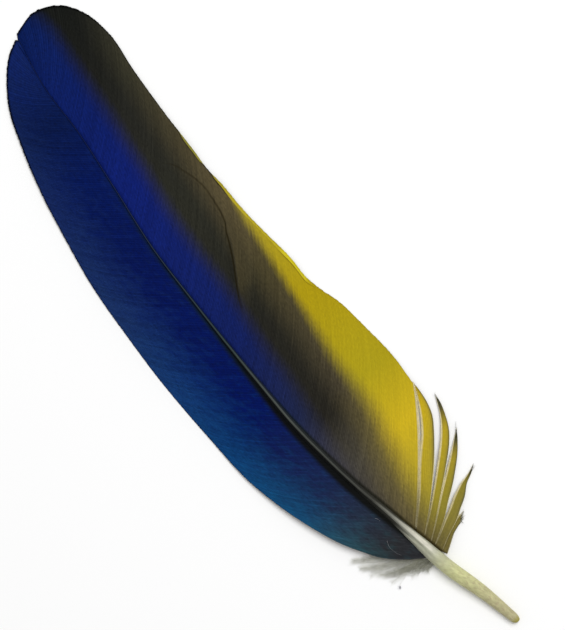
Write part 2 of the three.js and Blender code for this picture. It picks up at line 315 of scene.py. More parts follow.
# The mottling's place runs round the shaft and along it. The groove below, which no vane
# meets, takes the colour of the side by the inner vane.
GRAIN_ROUND = 2.2
GRAIN_ALONG = 0.45
GROOVE_COLOUR_FROM = 0.6
add_piece("shaft", shaft_points, shaft_faces, {
    "along": shaft_points[:, 1],
    "across": np.where(np.sin(shaft_angle) < -0.3, GROOVE_COLOUR_FROM, shaft_across),
    "grain": np.stack([
        np.cos(shaft_angle) * GRAIN_ROUND, shaft_points[:, 1] * GRAIN_ALONG,
        np.sin(shaft_angle) * GRAIN_ROUND], axis=-1)}, horn, "shaft")


# Outer vane
# The narrow blue vane on the leading side: a single row of barbs grown from the shaft's
# outer flank, each a flat blade of keratin hooked under the next one towards the tip.
BARB_PITCH = 0.56
BARB_BOW = 0.12
BARB_TURN = 0.62
CAMBER = 1.7
BLADE_CLEARANCE = 0.2
END_SCATTER = 0.1
LEAN_SETTLES = 20.0
BOW_SETTLES = 22.0
VANE_LEAN = 43.0
TIP_LEAN = 16.0
TIP_FAN_START = 186.0
NOTCH = (3.5, 207.0)
OUTER_FOOT = 29.4
OUTER_FOOT_LEAN = 46.0
OUTER_STEPS = 30

# A barb's section, from its outer rim over the ridge and the web to the rim hooked under the
# next barb and back below. The first value is in barb pitches and the second in millimetres.
SECTION = np.array([
    (-0.25, -0.045), (0.0, 0.03), (0.2, -0.002), (1.1, -0.045),
    (1.1, -0.085), (0.05, -0.120), (-0.25, -0.080)])
SECTION_BELOW = np.array([0, 0, 0, 0, 1, 1, 1])
# The place across a barb that its blade narrows towards at its end
SECTION_MIDDLE = 0.3


def curve_through(points, count):
    """A smooth plane curve through a few points, as evenly spaced points."""
    points = np.array(points, float)
    run = np.concatenate([[0], np.cumsum(np.linalg.norm(np.diff(points, axis=0), axis=1))])
    at = np.linspace(0, run[-1], 20 * count)
    fine = np.stack([along(np.stack([run, points[:, i]], 1))(at) for i in (0, 1)], axis=1)
    length = np.concatenate([[0], np.cumsum(np.linalg.norm(np.diff(fine, axis=0), axis=1))])
    even = np.linspace(0, length[-1], count)
    return np.stack([np.interp(even, length, fine[:, i]) for i in (0, 1)], axis=1)


def vane_root(y, side):
    """Where a barb leaves the shaft, in plan and height."""
    inset = 1 - 0.4 * smooth_step(28, 48, y) - 0.1 * smooth_step(110, 150, y)
    inset = inset * (1 - smooth_step(SHAFT_END - 6, SHAFT_END, y))
    x = shaft_x(y) + side * shaft_half_width(y) * inset
    return x, shaft_z(y) + flank_rise(y) * shaft_half_height(y)


def barb_ends(edge, root_x, root_y, lean, side):
    """Where on a vane's edge the barbs with these roots and leans end."""
    seen_x = edge[None, :, 0] - root_x[:, None]
    seen_y = edge[None, :, 1] - root_y[:, None]
    excess = side * np.arctan2(seen_x, seen_y) - lean[:, None]
    index = np.clip((excess > 0).sum(axis=1), 1, len(edge) - 1)
    rows = np.arange(len(root_y))
    before, after = excess[rows, index - 1], excess[rows, index]
    part = np.clip(before / (before - after + 1e-12), 0, 1)
    return edge[index - 1] + (edge[index] - edge[index - 1]) * part[:, None]


def barb_columns(count):
    """Shares of a barb's length where its blade has points, closer together at its end."""
    return np.concatenate([np.linspace(0, 0.95, count - 3), [0.97, 0.985, 1.0]])


def barb_routes(roots, ends, side, columns, foot_bow):
    """Plan routes of barbs, bowed towards the quill, as an array of barb, column, x and y."""
    chord = ends - roots
    bow = BARB_BOW * (1 - smooth_step(TIP_FAN_START, SHAFT_END, roots[:, 1:]))
    bow *= foot_bow + (1 - foot_bow) * smooth_step(0, BOW_SETTLES, roots[:, 1:] - roots[0, 1])
    control = roots + BARB_TURN * chord
    control += side * bow * np.stack([chord[:, 1], -chord[:, 0]], axis=1)
    t = columns[None, :, None]
    return (1 - t) ** 2 * roots[:, None] + 2 * t * (1 - t) * control[:, None] + t ** 2 * ends[:, None]


def barb_blades(lines, next_lines, rng, end_width=0.7, end_length=0.5):
    """Points, faces and vertex values of one blade for each line, reaching to the next line."""
    barbs, steps, _ = lines.shape
    sections = len(SECTION)
    rest = np.linalg.norm(np.diff(lines, axis=1), axis=2)[:, ::-1].cumsum(axis=1)[:, ::-1]
    to_end = np.concatenate([rest, np.zeros((barbs, 1))], axis=1)
    taper = end_width + (1 - end_width) * smooth_step(0, end_length, to_end)
    reach = SECTION_MIDDLE + (SECTION[None, None, :, 0] - SECTION_MIDDLE) * taper[..., None]
    step = next_lines - lines
    points = lines[:, :, None] + step[:, :, None] * reach[..., None]
    points[..., 2] += SECTION[None, None, :, 1]
    tangent = lines[:, -1] - lines[:, -2]
    tangent /= np.linalg.norm(tangent, axis=1, keepdims=True) + 1e-9
    points[:, -1] += (tangent * rng.uniform(-END_SCATTER, END_SCATTER, (barbs, 1)))[:, None]
    ring = np.arange(sections)
    first = (np.arange(barbs)[:, None] * steps + np.arange(steps - 1)[None, :]) * sections
    here = first[..., None] + ring
    after = first[..., None] + (ring + 1) % sections
    faces = np.stack([here + sections, after + sections, after, here], axis=-1)
    faces = faces.reshape(-1, 4).tolist()
    starts = np.arange(barbs) * steps * sections
    stops = starts + (steps - 1) * sections
    faces += [(start + ring).tolist() for start in starts]
    faces += [(stop + ring[::-1]).tolist() for stop in stops]
    number = np.arange(barbs)[:, None] * BARB_PITCH + 0 * to_end
    run = np.stack([to_end[:, :1] - to_end, number, 0 * to_end], axis=-1)
    flat = points.reshape(-1, 3)
    values = {
        "along": flat[:, 1],
        "from_shaft": np.abs(flat[:, 0] - shaft_x(flat[:, 1])),
        "to_end": np.repeat(to_end.ravel(), sections),
        "barb": np.repeat(rng.random(barbs), steps * sections),
        "below": np.tile(SECTION_BELOW, barbs * steps),
        "run": np.repeat(run.reshape(-1, 3), sections, axis=0)}
    return flat, faces, values


def vane_height(routes, roots_z, edge_lift, columns, camber=CAMBER):
    """Height of a vane: level at the shaft and curving down to the edge."""
    fall = columns[None, :] ** camber
    ends_z = edge_lift(routes[:, -1, 1]) + BLADE_CLEARANCE
    return roots_z[:, None] * (1 - fall) + ends_z[:, None] * fall


def unevenness(rng, lines, columns, group_size=6):
    """The small unevenness of grown barbs: some stand a little high and some a little aside."""
    barbs = len(lines)
    swell = np.sin(np.pi * np.clip(0.08 + 0.92 * columns, 0, 1))
    aside = rng.normal(0, 0.03, barbs)
    group = np.arange(0, barbs + group_size, group_size)
    raised = np.interp(np.arange(barbs), group, rng.normal(0, 0.05, len(group)))
    raised += rng.normal(0, 0.01, barbs)
    lines[..., 1] += aside[:, None] * swell
    lines[..., 2] += raised[:, None] * swell
    return lines


def grow_vane(side, foot, edge, edge_lift, foot_lean, foot_bow, steps, rng):
    """Centre lines of a vane's barbs from its foot to the notch at the tip."""
    count = int((SHAFT_END - foot) / BARB_PITCH)
    root_y = np.linspace(foot, SHAFT_END, count + 1)
    root_x, root_z = vane_root(root_y, side)
    settled = smooth_step(foot, foot + LEAN_SETTLES, root_y)
    swing = smooth_step(TIP_FAN_START, SHAFT_END, root_y)
    lean = (foot_lean + (VANE_LEAN - foot_lean) * settled) * (1 - swing) + side * TIP_LEAN * swing
    ends = barb_ends(edge, root_x, root_y, np.radians(lean), side)
    ends[-1] = NOTCH
    columns = barb_columns(steps)
    routes = barb_routes(np.stack([root_x, root_y], 1), ends, side, columns, foot_bow)
    height = vane_height(routes, root_z, edge_lift, columns)
    return unevenness(rng, np.concatenate([routes, height[..., None]], axis=2), columns)


outer_edge = curve_through([
    (-14.5, 40.0), (-18.3, 46.8), (-21.8, 56.0), (-24.6, 66.0), (-26.4, 76.0), (-27.0, 92.0),
    (-27.0, 112.0), (-26.1, 126.0), (-24.3, 144.0), (-21.8, 157.0), (-18.5, 171.5),
    (-14.5, 184.2), (-10.0, 195.0), (-6.2, 200.3), (-0.4, 205.7), (3.0, 207.4)], 1500)
outer_edge_lift = along([
    (40, 2.6), (60, 1.8), (85, 0.4), (100, 0), (120, 0), (150, 0.3), (185, 0.5), (210, 0.1)])
rng = np.random.default_rng(11)
outer_lines = grow_vane(
    -1, OUTER_FOOT, outer_edge, outer_edge_lift, OUTER_FOOT_LEAN, 1.0, OUTER_STEPS, rng)
points, faces, values = barb_blades(outer_lines[:-1], outer_lines[1:], rng)


def barb_finish(tree, top_colour, contrast):
    """Grown barb keratin: streaked from barb to barb, dark at the barb ends, olive gold below."""
    at = vertex(tree, "along")
    run = vertex(tree, "run", "Vector")
    # Mottling about 1 mm long and one barb wide
    mottle = noise(tree, run, scale=1.3, detail=2.0)
    streak = spread(tree, vertex(tree, "barb"), 0.0, 1.0, -0.12, 0.12)
    patch = spread(tree, mottle, 0.25, 0.75, -0.26, 0.26)
    tone = work_out(tree, "MULTIPLY_ADD", work_out(tree, "ADD", streak, patch), contrast, 1.0)
    # The last millimetre or so of a barb is dark, most of all towards the feather's tip
    rim_fall = spread(tree, at, 140.0, 190.0, -0.6, -0.97)
    rim_width = spread(tree, at, 140.0, 190.0, 0.65, 1.05)
    rim = spread(tree, vertex(tree, "to_end"), 0.1, rim_width, rim_fall, 0.0, "SMOOTHSTEP")
    rimmed = work_out(tree, "MULTIPLY_ADD", rim, contrast, 1.0)
    sided = mix(tree, vertex(tree, "below"), top_colour, colour("#7d6e2c"))
    shaded = mix(tree, 1.0, sided, work_out(tree, "MULTIPLY", tone, rimmed), "MULTIPLY")
    # Barbules cross the web every 0.03 mm or so. They are drawn 0.5 mm apart to show at all.
    comb = add(tree, "ShaderNodeTexWave", {"Vector": run, "Scale": 0.64, "Distortion": 1.5},
               bands_direction="X").outputs["Fac"]
    rough = spread(tree, mottle, 0.25, 0.75, 0.55, 0.75)
    keratin(tree, shaded, rough, gloss=0.04, relief=comb, strength=0.2, depth=0.00004)


# Barb keratin that scatters blue over black pigment: navy towards the tip, turning to a
# saturated blue by the shaft and to teal along the lower edge, with black by the lower shaft,
# partly pigment and partly painted shade beside the raised shaft.
blue = bpy.data.materials.new("barb_keratin_scatter_blue")
tree = new_tree(blue)
share = work_out(tree, "DIVIDE", vertex(tree, "along"), FEATHER_LENGTH)
off = vertex(tree, "from_shaft")
near_blue = ramp_at(tree, share, [
    (0.18, "#2a2b2e"), (0.225, "#262f3e"), (0.29, "#182549"), (0.42, "#011253"), (0.66, "#031350"),
    (0.79, "#031550"), (0.87, "#051645"), (0.96, "#0d205a")])
edge_blue = ramp_at(tree, share, [
    (0.2, "#2e6068"), (0.28, "#12527a"), (0.4, "#0d4478"), (0.5, "#143d73"), (0.62, "#1b3566"),
    (0.8, "#172a5d"), (1.0, "#15284c")])
outwards = spread(tree, off, 4.5, 23.0, shape="SMOOTHSTEP")
# The two blues meet in clouds about 3 mm across
cloud = noise(tree, vertex(tree, "run", "Vector"), scale=0.35, detail=3.0)
drift = spread(tree, cloud, 0.3, 0.7, -0.16, 0.16)
blues = mix(tree, work_out(tree, "ADD", outwards, drift, use_clamp=True), near_blue, edge_blue)
# The dark band beside the shaft, partly black barb feet and partly painted shade beside the
# raised shaft, whose width along the feather is a share of 6 mm
BAND_REACH = 6.0
black_to = curve_at(tree, share, [
    (0.14, 0.1), (0.18, 0.3), (0.22, 0.4), (0.27, 0.42), (0.35, 0.36), (0.45, 0.27), (0.53, 0.17),
    (0.62, 0.12), (0.72, 0.09), (0.8, 0.0)], BAND_REACH)
black_and_shade_by = spread(tree, work_out(tree, "SUBTRACT", black_to, off), -0.9, 0.7, shape="SMOOTHSTEP")
band_and_shade_colour = ramp_at(tree, share, [
    (0.2, "#10110f"), (0.42, "#090b0e"), (0.55, "#0c1a24"), (0.75, "#0a1a3a")])
barb_finish(tree, mix(tree, black_and_shade_by, blues, band_and_shade_colour), 1.0)
add_piece("outer_vane", points, faces, values, blue, "vane")


# Down
# Soft grey barbs grown from the shaft's flank at the foot of the outer vane. Their thin
# keratin has no hooks, so the long barbules stand apart as fluff below the vane's edge.
DOWN_COUNT = 26
DOWN_FOOT = 26.6
DOWN_FOOT_LENGTH = 5.2
DOWN_PITCH = 0.16
NEEDLE_SIDES = 3
NEEDLE_POINT_SHARE = 0.2
WISP_POINTS = 24
KNOT_LOOPS = 40


def needles(spines, half_width):
    """Points and faces of thin three-sided needles, one along each row of points."""
    count, stations, _ = spines.shape
    heading = np.gradient(spines, axis=1)
    heading /= np.linalg.norm(heading, axis=2, keepdims=True) + 1e-9
    sideways = np.stack([heading[..., 1], -heading[..., 0], 0 * heading[..., 0]], axis=-1)
    upwards = np.cross(sideways, heading)
    turn = (2 * np.pi * np.arange(NEEDLE_SIDES) / NEEDLE_SIDES + np.pi / 2)[:, None]
    ring = np.cos(turn) * sideways[:, :, None] + np.sin(turn) * upwards[:, :, None]
    taper = np.linspace(1, NEEDLE_POINT_SHARE, stations)[None, :, None, None]
    points = spines[:, :, None] + half_width * taper * ring
    corner = np.arange(NEEDLE_SIDES)
    first = (np.arange(count)[:, None] * stations + np.arange(stations - 1)) * NEEDLE_SIDES
    here = first[..., None] + corner
    after = first[..., None] + (corner + 1) % NEEDLE_SIDES
    faces = np.stack([here, after, after + NEEDLE_SIDES, here + NEEDLE_SIDES], axis=-1)
    faces = faces.reshape(-1, 4).tolist()
    roots = np.arange(count) * stations * NEEDLE_SIDES
    tips = roots + (stations - 1) * NEEDLE_SIDES
    faces += [(root + corner[::-1]).tolist() for root in roots]
    faces += [(tip + corner).tolist() for tip in tips]
    return points.reshape(-1, 3), faces


def barbule_spines(line, side, pitch, lengths, rng):
    """Spines of barbules along one side of a barb, slanting out and towards the barb's end."""
    run = np.concatenate([[0], np.cumsum(np.linalg.norm(np.diff(line, axis=0), axis=1))])
    at = np.arange(0.5 * pitch, run[-1], pitch)
    at = at + rng.uniform(-0.4, 0.4, len(at)) * pitch
    root = np.stack([np.interp(at, run, line[:, axis]) for axis in range(3)], axis=1)
    slope = np.gradient(line[:, :2], run, axis=0)
    heading = np.stack([np.interp(at, run, slope[:, axis]) for axis in range(2)], axis=1)
    heading /= np.linalg.norm(heading, axis=1, keepdims=True)
    outward = side * np.stack([heading[:, 1], -heading[:, 0]], axis=1)
    slant = np.radians(rng.uniform(35, 65, len(at)))[:, None]
    aim = heading * np.cos(slant) + outward * np.sin(slant)
    place, length = np.array(lengths).T
    reach = np.interp(at / run[-1], place, length) * rng.uniform(0.6, 1.2, len(at))
    t = np.linspace(0, 1, 3)[None, :, None]
    plan = root[:, None, :2] + reach[:, None, None] * (aim[:, None] * t + 0.3 * heading[:, None] * t ** 2)
    height = root[:, None, 2:] + rng.normal(0, 0.12, (len(at), 1, 1)) * reach[:, None, None] * t
    return np.concatenate([plan, height], axis=2)


def wisp(route, start_z, end_z, rng):
    """The wavy centre line of one soft barb, sinking from its root to its end."""
    t = np.linspace(0, 1, len(route))
    heading = np.gradient(route, axis=0)
    heading /= np.linalg.norm(heading, axis=1, keepdims=True)
    wave = 0.35 * np.sin(2 * np.pi * (rng.uniform(0.8, 1.6) * t + rng.random())) * t
    plan = route + wave[:, None] * np.stack([heading[:, 1], -heading[:, 0]], axis=1)
    height = end_z + (start_z - end_z) * (1 - t) ** 1.5
    return np.concatenate([plan, height[:, None]], axis=1)


rng = np.random.default_rng(5)
down_reach = curve_through(
    [(-4.4, 26.4), (-7.8, 27.6), (-11.8, 29.6), (-15.4, 33.2), (-18.2, 37.4), (-19.8, 42.0)], DOWN_COUNT)
stems = []
spines = []
for share_along, reached in zip(np.linspace(0, 1, DOWN_COUNT), down_reach):
    root_y = DOWN_FOOT + DOWN_FOOT_LENGTH * share_along + rng.uniform(-0.4, 0.4)
    root = np.array([shaft_x(root_y) - 0.8 * shaft_half_width(root_y), root_y])
    end = reached + rng.normal(0, 0.9, 2)
    middle = (root + end) / 2 + rng.uniform(-0.3, 1.3) * np.array([-0.6, -0.6])
    stem = wisp(curve_through([root, middle, end], WISP_POINTS), 1.9, rng.uniform(0.15, 0.6), rng)
    stems.append(stem)
    for side in (-1, 1):
        spines.append(barbule_spines(
            stem, side, DOWN_PITCH, [(0, 0.4), (0.2, 1.1), (0.7, 1.7), (1, 1.0)], rng))

# One loose fibre hangs out of the fluff and ends in a tiny tangle
stray = curve_through([(-7.6, 30.4), (-9.6, 29.5), (-11.8, 28.6), (-14.0, 27.4)], WISP_POINTS)
stray = wisp(stray, 0.6, 0.2, rng)
stems.append(stray)
spines.append(barbule_spines(stray, 1, 0.25, [(0, 0.8), (0.5, 0.5), (1, 0.3)], rng))
turns = rng.uniform(0, 2 * np.pi, (KNOT_LOOPS, 1)) + np.linspace(0, 2.2, 3)
loops = np.stack([np.cos(turns), np.sin(turns), 0.3 * np.sin(2 * turns)], axis=-1)
scatter = rng.normal(0, 0.22, (KNOT_LOOPS, 1, 3)) * [1, 1, 0.3]
knot = stray[-1] + scatter + rng.uniform(0.1, 0.35, (KNOT_LOOPS, 1, 1)) * loops

# Two more lie on the vane itself, where the photographed feather has pale hairs
for knots in ([(-8.4, 39.6), (-9.0, 37.9), (-8.8, 36.1), (-8.0, 34.0)],
              [(-6.9, 46.4), (-6.6, 45.9), (-6.4, 45.2), (-6.5, 44.8)]):
    hair = curve_through(knots, WISP_POINTS)
    gap = np.linalg.norm(outer_lines[None, :, :, :2] - hair[:, None, None], axis=3)
    nearest = gap.reshape(len(hair), -1).argmin(axis=1)
    lift = outer_lines[..., 2].ravel()[nearest] + 0.12
    stems.append(np.concatenate([hair, lift[:, None]], axis=1))

# Down's keratin, grown so thin that it holds no colour of its own: matt grey, olive at the root
# where it is dusty, darkened there partly as painted shade under the vane's edge, and darker in the tangle.
fluff = bpy.data.materials.new("down_keratin_grown_grey")
tree = new_tree(fluff)
# Dusty patches about 1 mm across
dust = noise(tree, add(tree, "ShaderNodeTexCoord").outputs["Object"], scale=900.0, detail=2.0)
grey = ramp_at(tree, vertex(tree, "to_tip"), [(0.0, "#8b8b76"), (0.4, "#adad9a"), (1.0, "#d2d2c6")])
tangled = mix(tree, vertex(tree, "tangle"), grey, colour("#8a8996"))
toned = mix(tree, 1.0, tangled, spread(tree, dust, 0.3, 0.7, 0.8, 1.15), "MULTIPLY")
keratin(tree, toned, roughness=0.85, gloss=0.1, relief=dust, strength=0.2, depth=0.00002)

# The grey goes by distance from the down's foot. The hairs on the vane, the only stems that
# lie so high, are tinted too.
STEM_HALF_WIDTH = 0.04
DOWN_HALF_WIDTH = 0.019
DOWN_SPAN = 14
VANE_HAIR_HEIGHT = 2.6
VANE_HAIR_TINT = 0.7
stem_points, stem_faces = needles(np.array(stems), STEM_HALF_WIDTH)
hair_points, hair_faces = needles(np.concatenate(spines + [knot]), DOWN_HALF_WIDTH)
points = np.concatenate([stem_points, hair_points])
faces = stem_faces + [[len(stem_points) + k for k in face] for face in hair_faces]
down_foot = [shaft_x(DOWN_FOOT + 3), DOWN_FOOT + 3]
to_tip = np.clip(np.linalg.norm(points[:, :2] - down_foot, axis=1) / DOWN_SPAN, 0, 1)
in_knot = np.arange(len(points)) >= len(points) - knot[..., 0].size * NEEDLE_SIDES
on_vane = (np.arange(len(points)) < len(stem_points)) & (points[:, 2] > VANE_HAIR_HEIGHT)
tangle = in_knot + VANE_HAIR_TINT * on_vane
add_piece("down", points, faces, {"to_tip": to_tip, "tangle": tangle}, fluff, "vane")


# Inner vane
# The broader vane on the trailing side, of the same barbs. It is blue by the shaft, black in
# the middle and yellow along the lower edge, and it has an old crease across its upper half.
INNER_FOOT = 36.6
INNER_FOOT_LEAN = 39.9
INNER_STEPS = 36
inner_edge = curve_through([
    (24.3, 65.2), (25.2, 76.0), (24.6, 87.0), (23.4, 98.0), (22.1, 102.5), (21.2, 107.5),
    (21.4, 114.5), (20.8, 122.0), (20.3, 128.0), (20.1, 135.0), (20.2, 141.5), (19.85, 147.6),
    (20.35, 154.0), (20.6, 160.0), (20.9, 166.0), (22.0, 180.0), (23.4, 193.0), (22.2, 200.3),
    (18.4, 206.6), (11.4, 210.0), (4.2, 208.4)], 1800)
inner_edge_lift = along([
    (30, 1.6), (50, 0.9), (65, 0.6), (85, 0), (105, 0), (140, 0.4), (175, 0.4), (200, 0), (210, 0)])
rng = np.random.default_rng(23)
inner_lines = grow_vane(
    1, INNER_FOOT, inner_edge, inner_edge_lift, INNER_FOOT_LEAN, 0.45, INNER_STEPS, rng)

# The crease runs out from the shaft, along the vane and back as a low ridge
CREASE_HEIGHT = 0.3
CREASE_WIDTH = 0.8
crease = curve_through([
    (9.5, 157.0), (13.7, 153.5), (14.8, 150.2), (15.8, 146.6), (15.9, 142.9), (15.1, 136.1),
    (12.6, 130.6), (10.6, 126.6), (8.4, 122.7), (5.8, 118.7), (3.3, 114.3), (0.4, 107.5)], 200)
away = np.linalg.norm(inner_lines[:, :, None, :2] - crease[None, None], axis=3)
fade = np.sin(np.pi * away.argmin(axis=2) / (len(crease) - 1)) ** 0.5
inner_lines[..., 2] += CREASE_HEIGHT * fade * np.exp(-(away.min(axis=2) / CREASE_WIDTH) ** 2)

# The edge is curled up a little where the yellow begins and further down: where along the
# feather, how far each way, and how high
CURLS = ((156, 5, 0.35), (142, 5, 0.3), (111.5, 5, 0.5))
CURL_WIDTH = 1.4
to_edge = np.linalg.norm(inner_lines[..., :2] - inner_lines[:, -1:, :2], axis=2)
for middle, reach, height in CURLS:
    curl = np.exp(-((inner_lines[..., 1] - middle) / reach) ** 2)
    inner_lines[..., 2] += height * curl * (1 - smooth_step(0, CURL_WIDTH, to_edge))
points, faces, values = barb_blades(inner_lines[:-1], inner_lines[1:], rng)
# The first barb's lower side bounds the uppermost slit, so it is frayed, and painted pale,
# partly as light shining through its thin barbules
slit_side = SECTION[None, :, 0] < 0
lit_pale_side = smooth_step(0, 0.5, barb_columns(INNER_STEPS))[:, None] * slit_side
values["frayed"] = np.zeros(len(points))
values["frayed"][:lit_pale_side.size] = lit_pale_side.ravel()
values["worn"] = np.zeros(len(points))


# Needles count as this far from a barb's end, so that none has the dark rim
NO_RIM = 5.0


def with_needles(blades, spines, half_width, worn, rng):
    """Blades joined by needles of their own keratin, painted paler further out where they aren't worn,
    partly as light shining through them.
    """
    points, faces, values = blades
    needle_points, needle_faces = needles(spines, half_width)
    count = len(needle_points)
    off = np.abs(needle_points[:, 0] - shaft_x(needle_points[:, 1]))
    needle_values = {
        "along": needle_points[:, 1],
        "from_shaft": off,
        "to_end": np.full(count, NO_RIM),
        "barb": np.repeat(rng.random(len(spines)), count // len(spines)),
        "below": np.zeros(count),
        "run": needle_points,
        "worn": np.full(count, worn),
        "frayed": (1 - worn) * (0.3 + 0.7 * smooth_step(6, 18, off))}
    joined = {key: np.concatenate([values[key], needle_values[key]]) for key in values}
    shifted = [[len(points) + k for k in face] for face in needle_faces]
    return np.concatenate([points, needle_points]), faces + shifted, joined


# Unhooked barbules stand out along the vane's free lower side. Real ones are about 0.02 mm
# wide and apart. They are drawn coarser to keep the mesh light.
FRINGE_PITCH = 0.045
FRINGE_HALF_WIDTH = 0.05
fringe_spines = barbule_spines(
    inner_lines[0], 1, FRINGE_PITCH, [(0, 0.3), (0.15, 0.65), (0.5, 1.0), (0.9, 1.1), (1, 0.4)], rng)
points, faces, values = with_needles(
    (points, faces, values), fringe_spines, FRINGE_HALF_WIDTH, worn=0.0, rng=rng)


# The same keratin with three pigments in turn: blue scatter by the shaft, black, then the
# yellow of macaws, which shows wherever the black is missing. The borders are soft and streaky.
pied = bpy.data.materials.new("barb_keratin_blue_black_yellow")
tree = new_tree(pied)
share = work_out(tree, "DIVIDE", vertex(tree, "along"), FEATHER_LENGTH)
off = vertex(tree, "from_shaft")
to_end = vertex(tree, "to_end")
drawn = add(tree, "ShaderNodeMapping", {"Vector": vertex(tree, "run", "Vector"), "Scale": (0.25, 1.1, 1.0)})
wander = spread(tree, noise(tree, drawn.outputs[0], scale=1.0, detail=3.0), 0.2, 0.8, -0.5, 0.5)
jitter = work_out(tree, "MULTIPLY_ADD", vertex(tree, "barb"), 0.2, -0.1)
place = work_out(tree, "ADD", work_out(tree, "ADD", off, wander), jitter)
blue_part = ramp_at(tree, share, [
    (0.2, "#38352b"), (0.29, "#3c3b40"), (0.38, "#1e2646"), (0.5, "#111f59"),
    (0.75, "#0e1f6c"), (1.0, "#091d54")])
black_part = ramp_at(tree, share, [
    (0.2, "#554d39"), (0.29, "#474339"), (0.36, "#25231d"), (0.55, "#24241e"), (0.68, "#2b2b23"),
    (0.8, "#262621"), (0.93, "#1a1b18"), (1.0, "#141613")])
umber_part = ramp_at(tree, share, [
    (0.2, "#6a5f36"), (0.29, "#6a5f33"), (0.38, "#484130"), (0.55, "#4a432a"),
    (0.66, "#574d34"), (0.75, "#48412c"), (0.86, "#3a3829"), (1.0, "#232420")])
yellow_part = ramp_at(tree, share, [
    (0.14, "#85793a"), (0.18, "#9a8d30"), (0.22, "#b29e2b"), (0.29, "#cbb021"), (0.37, "#ac9c1a"),
    (0.5, "#aa9510"), (0.66, "#a6962a"), (0.73, "#928c3a")])
# Distances from the shaft to the borders along the feather, as shares of 30 mm
BORDER_REACH = 30.0
black_at = curve_at(tree, share, [
    (0.2, 0.05), (0.3, 0.12), (0.36, 0.18), (0.42, 0.24), (0.48, 0.26), (0.54, 0.3),
    (0.61, 0.32), (0.74, 0.32), (0.86, 0.335), (0.91, 0.355), (0.95, 0.34), (1.0, 0.21)], BORDER_REACH)
brown_at = curve_at(tree, share, [
    (0.15, 0.2), (0.22, 0.32), (0.287, 0.48), (0.351, 0.61), (0.415, 0.66), (0.48, 0.71), (0.53, 0.725),
    (0.6, 0.77), (0.66, 0.83), (0.73, 0.81), (0.8, 0.79), (0.88, 0.79), (1.0, 0.9)], BORDER_REACH)
yellow_at = curve_at(tree, share, [
    (0.15, 0.2), (0.22, 0.34), (0.287, 0.52), (0.351, 0.64), (0.415, 0.675), (0.48, 0.73),
    (0.53, 0.765), (0.58, 0.797), (0.62, 0.822), (0.65, 0.855), (0.72, 1.0)], BORDER_REACH)
blacken = spread(tree, work_out(tree, "SUBTRACT", place, black_at), -4.0, 3.0, shape="SMOOTHSTEP")
brown_near = spread(tree, work_out(tree, "SUBTRACT", place, brown_at), -9.5, 0.0, shape="SMOOTHSTEP")
soft = spread(tree, share, 0.26, 0.5, 5.0, 1.8)
soft_low = work_out(tree, "MULTIPLY", soft, -1.0)
gild = spread(tree, work_out(tree, "SUBTRACT", place, yellow_at), soft_low, soft, shape="SMOOTHSTEP")
# The fold of the crease catches the light on its outer side
crease_at = curve_at(tree, share, [
    (0.512, 0.243), (0.544, 0.329), (0.565, 0.408), (0.584, 0.487), (0.603, 0.557), (0.622, 0.615),
    (0.648, 0.688), (0.68, 0.698), (0.698, 0.675), (0.715, 0.627), (0.731, 0.573), (0.748, 0.42)],
    BORDER_REACH)
crease_off = work_out(tree, "SUBTRACT", off, crease_at)
fold_strength = curve_at(tree, share, [
    (0.0, 0.0), (0.52, 0.0), (0.56, 0.5), (0.6, 0.65), (0.64, 0.68), (0.68, 0.4), (0.72, 0.0),
    (1.0, 0.0)])
folded = work_out(tree, "MULTIPLY", spread(tree, crease_off, 0.1, 0.9), fold_strength)
blackened = mix(tree, blacken, blue_part, black_part)
browned = mix(tree, work_out(tree, "MAXIMUM", brown_near, folded), blackened, umber_part)
# Yellow barb tips show past the black as a thin fringe before the yellow proper begins. Its
# width is a share of 3 mm, and a dark line of painted shade runs inside it, under the curled edge.
FRINGE_REACH = 3.0
fringe_to = curve_at(tree, share, [
    (0.0, 0.0), (0.49, 0.2), (0.515, 0.62), (0.55, 0.62), (0.6, 0.45), (0.64, 0.7), (0.668, 0.52),
    (0.69, 0.25), (0.698, 0.0), (0.706, 0.0), (0.714, 0.45), (0.735, 0.5), (0.755, 0.3), (0.775, 0.0),
    (1.0, 0.0)], FRINGE_REACH)
in_fringe = work_out(tree, "SUBTRACT", fringe_to, to_end)
fringed = spread(tree, in_fringe, 0.0, 0.2)
gilt = work_out(tree, "MAXIMUM", gild, fringed)
yellowed = mix(tree, gilt, browned, yellow_part)
curl_shade_near = work_out(tree, "ABSOLUTE", work_out(tree, "ADD", in_fringe, 0.2))
curl_shade_strength = curve_at(tree, share, [
    (0.0, 0.0), (0.48, 0.0), (0.505, 0.35), (0.54, 0.5), (0.57, 0.1), (0.64, 0.1), (0.66, 0.6),
    (0.68, 1.0), (0.7, 0.9), (0.74, 0.8), (0.77, 0.3), (0.8, 0.0), (1.0, 0.0)])
curl_shade = work_out(tree, "MULTIPLY", spread(tree, curl_shade_near, 0.1, 0.35, 1.0, 0.0), curl_shade_strength)
# The curled edge catches the light beyond that line
curl_light = curve_at(tree, share, [
    (0.0, 0.0), (0.49, 0.0), (0.51, 0.6), (0.53, 1.0), (0.555, 0.9), (0.57, 0.3), (0.67, 0.15),
    (0.7, 0.0), (1.0, 0.0)])
lit_edge = mix(tree, work_out(tree, "MULTIPLY", fringed, curl_light), yellowed, colour("#d2c428"))
# Along the crease the web is broken, and a hair-thin dark line is painted there as the crease's shade
crease_near = work_out(tree, "ABSOLUTE", crease_off)
crease_shade_strength = curve_at(tree, share, [
    (0.0, 0.0), (0.51, 0.0), (0.54, 0.5), (0.6, 0.85), (0.63, 0.75), (0.68, 0.5), (0.73, 0.4),
    (0.755, 0.0), (1.0, 0.0)])
crease_shade = work_out(tree, "MULTIPLY", spread(tree, crease_near, 0.1, 0.4, 1.0, 0.0), crease_shade_strength)
